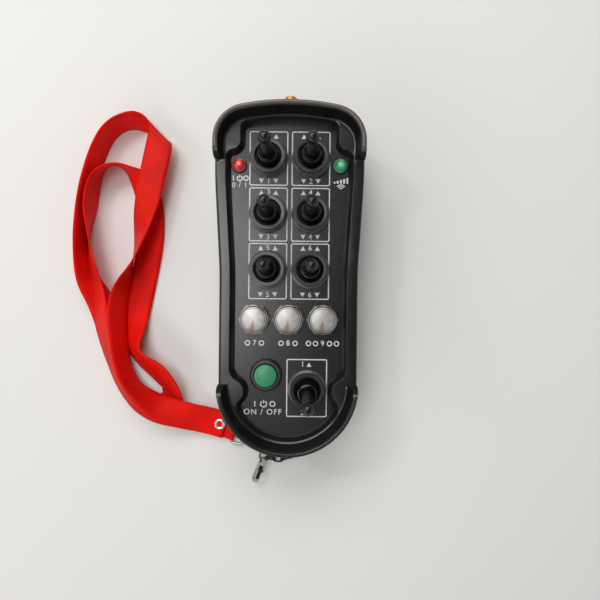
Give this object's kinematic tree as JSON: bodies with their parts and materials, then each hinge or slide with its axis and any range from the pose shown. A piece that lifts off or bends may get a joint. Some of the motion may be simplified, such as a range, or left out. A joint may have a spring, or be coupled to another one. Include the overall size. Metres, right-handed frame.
{
  "type": "handheld welding remote control",
  "caption": "Handheld radio remote with booted toggles, metal push buttons, green power button, lamps, antenna socket and a red ribbon lanyard with a clasp.",
  "frame": {"origin": "under the middle of the handset with its antenna socket, on the surface that the back lies on", "axes": "+X to the right of the face, +Y towards the antenna socket, +Z out of the face"},
  "size_m": [0.156, 0.2085, 0.0684],
  "materials": {
    "shell": "fine satin grain, charcoal black",
    "film": "printed film, matt black with white line frames",
    "seal": "soft black",
    "screw_steel": "zinc plated",
    "board": "green solder mask",
    "radio_can": "pressed metal can",
    "gold": "gold plated",
    "lead": "black sheath",
    "cell": "plain printed sleeve",
    "switch_case": "moulded black",
    "boot_rubber": "matt black moulded rubber",
    "lever_steel": "nickel plated",
    "button_cap": "spun face",
    "button_bezel": "polished ring",
    "power_body": "black ring",
    "power_trim": "dark grey ring",
    "power_green": "smooth green",
    "led_holder": "black clip",
    "led_red": "clear red lens, unlit",
    "led_green": "clear green lens, unlit",
    "ribbon": "red satin weave with fine ribs across it",
    "ring_silver": "bright plated wire",
    "chain_black": "black plated",
    "gunmetal": "dark plated"
  },
  "bodies": {
    "handset": {"front_shell": "shell", "rear_shell": "shell", "battery_door": "shell", "face_overlay": "film", "shell_seal": "seal", "door_seal": "seal", "door_screws": "screw_steel", "case_screws": "screw_steel", "panel_nuts": "screw_steel", "battery_contacts": "screw_steel", "main_board": "board", "radio_module": "radio_can", "antenna_socket": "gold", "antenna_nut": "gold", "antenna_lead": "lead", "battery_cells": "cell", "toggle_bodies": "switch_case", "boot_base_1": "boot_rubber", "boot_base_2": "boot_rubber", "boot_base_3": "boot_rubber", "boot_base_4": "boot_rubber", "boot_base_5": "boot_rubber", "boot_base_6": "boot_rubber", "mode_boot_base": "boot_rubber", "button_barrels": "button_bezel", "button_nuts": "button_bezel", "power_button_body": "power_body", "power_button_trim": "power_trim", "led_holders": "led_holder", "power_led": "led_red", "signal_led": "led_green", "lanyard_ribbon": "ribbon", "lanyard_tab": "ribbon", "lanyard_eyelet": "ring_silver", "lanyard_ring": "ring_silver", "eye_ring": "ring_silver", "tether_chain": "chain_black", "chain_ring": "chain_black", "jump_ring": "gunmetal", "clasp_body": "gunmetal"},
    "toggle_1": {"boot_sleeve_1": "boot_rubber", "toggle_lever_1": "lever_steel"},
    "toggle_2": {"boot_sleeve_2": "boot_rubber", "toggle_lever_2": "lever_steel"},
    "toggle_3": {"boot_sleeve_3": "boot_rubber", "toggle_lever_3": "lever_steel"},
    "toggle_4": {"boot_sleeve_4": "boot_rubber", "toggle_lever_4": "lever_steel"},
    "toggle_5": {"boot_sleeve_5": "boot_rubber", "toggle_lever_5": "lever_steel"},
    "toggle_6": {"boot_sleeve_6": "boot_rubber", "toggle_lever_6": "lever_steel"},
    "mode_toggle": {"mode_boot_sleeve": "boot_rubber", "mode_lever": "lever_steel"},
    "button_left": {"button_cap_left": "button_cap"},
    "button_middle": {"button_cap_middle": "button_cap"},
    "button_right": {"button_cap_right": "button_cap"},
    "power_button": {"power_button_cap": "power_green"},
    "gate": {"clasp_gate": "gunmetal"}
  },
  "joints": [
    {"name": "toggle_1_tilt", "type": "hinge", "parent": "handset", "child": "toggle_1", "pos_m": [-0.0106, 0.0561, 0.038], "axis": [1, 0, 0], "range_deg": [-13, 13], "stiffness_Nm_per_rad": 0.4},
    {"name": "toggle_2_tilt", "type": "hinge", "parent": "handset", "child": "toggle_2", "pos_m": [0.0106, 0.0561, 0.038], "axis": [1, 0, 0], "range_deg": [-13, 13], "stiffness_Nm_per_rad": 0.4},
    {"name": "toggle_3_tilt", "type": "hinge", "parent": "handset", "child": "toggle_3", "pos_m": [-0.0106, 0.0283, 0.038], "axis": [1, 0, 0], "range_deg": [-13, 13], "stiffness_Nm_per_rad": 0.4},
    {"name": "toggle_4_tilt", "type": "hinge", "parent": "handset", "child": "toggle_4", "pos_m": [0.0106, 0.0283, 0.038], "axis": [1, 0, 0], "range_deg": [-13, 13], "stiffness_Nm_per_rad": 0.4},
    {"name": "toggle_5_tilt", "type": "hinge", "parent": "handset", "child": "toggle_5", "pos_m": [-0.0106, 0.0005, 0.038], "axis": [1, 0, 0], "range_deg": [-13, 13], "stiffness_Nm_per_rad": 0.4},
    {"name": "toggle_6_tilt", "type": "hinge", "parent": "handset", "child": "toggle_6", "pos_m": [0.0106, 0.0005, 0.038], "axis": [1, 0, 0], "range_deg": [-13, 13], "stiffness_Nm_per_rad": 0.4},
    {"name": "mode_toggle_tilt", "type": "hinge", "parent": "handset", "child": "mode_toggle", "pos_m": [0.0097, -0.0589, 0.038], "axis": [1, 0, 0], "range_deg": [-14, 0]},
    {"name": "button_left_press", "type": "slide", "parent": "handset", "child": "button_left", "axis": [0, 0, -1], "range_m": [0, 0.0016], "stiffness_N_per_m": 1500, "springref_m": -0.0008},
    {"name": "button_middle_press", "type": "slide", "parent": "handset", "child": "button_middle", "axis": [0, 0, -1], "range_m": [0, 0.0016], "stiffness_N_per_m": 1500, "springref_m": -0.0008},
    {"name": "button_right_press", "type": "slide", "parent": "handset", "child": "button_right", "axis": [0, 0, -1], "range_m": [0, 0.0016], "stiffness_N_per_m": 1500, "springref_m": -0.0008},
    {"name": "power_press", "type": "slide", "parent": "handset", "child": "power_button", "axis": [0, 0, -1], "range_m": [0, 0.0023], "stiffness_N_per_m": 1200, "springref_m": -0.0008},
    {"name": "clasp_gate_swing", "type": "hinge", "parent": "handset", "child": "gate", "pos_m": [-0.01556, -0.11026, 0.00451], "axis": [0.7966, -0.3881, -0.4635], "range_deg": [0, 18], "stiffness_Nm_per_rad": 0.02, "springref_deg": -5.73}
  ]
}
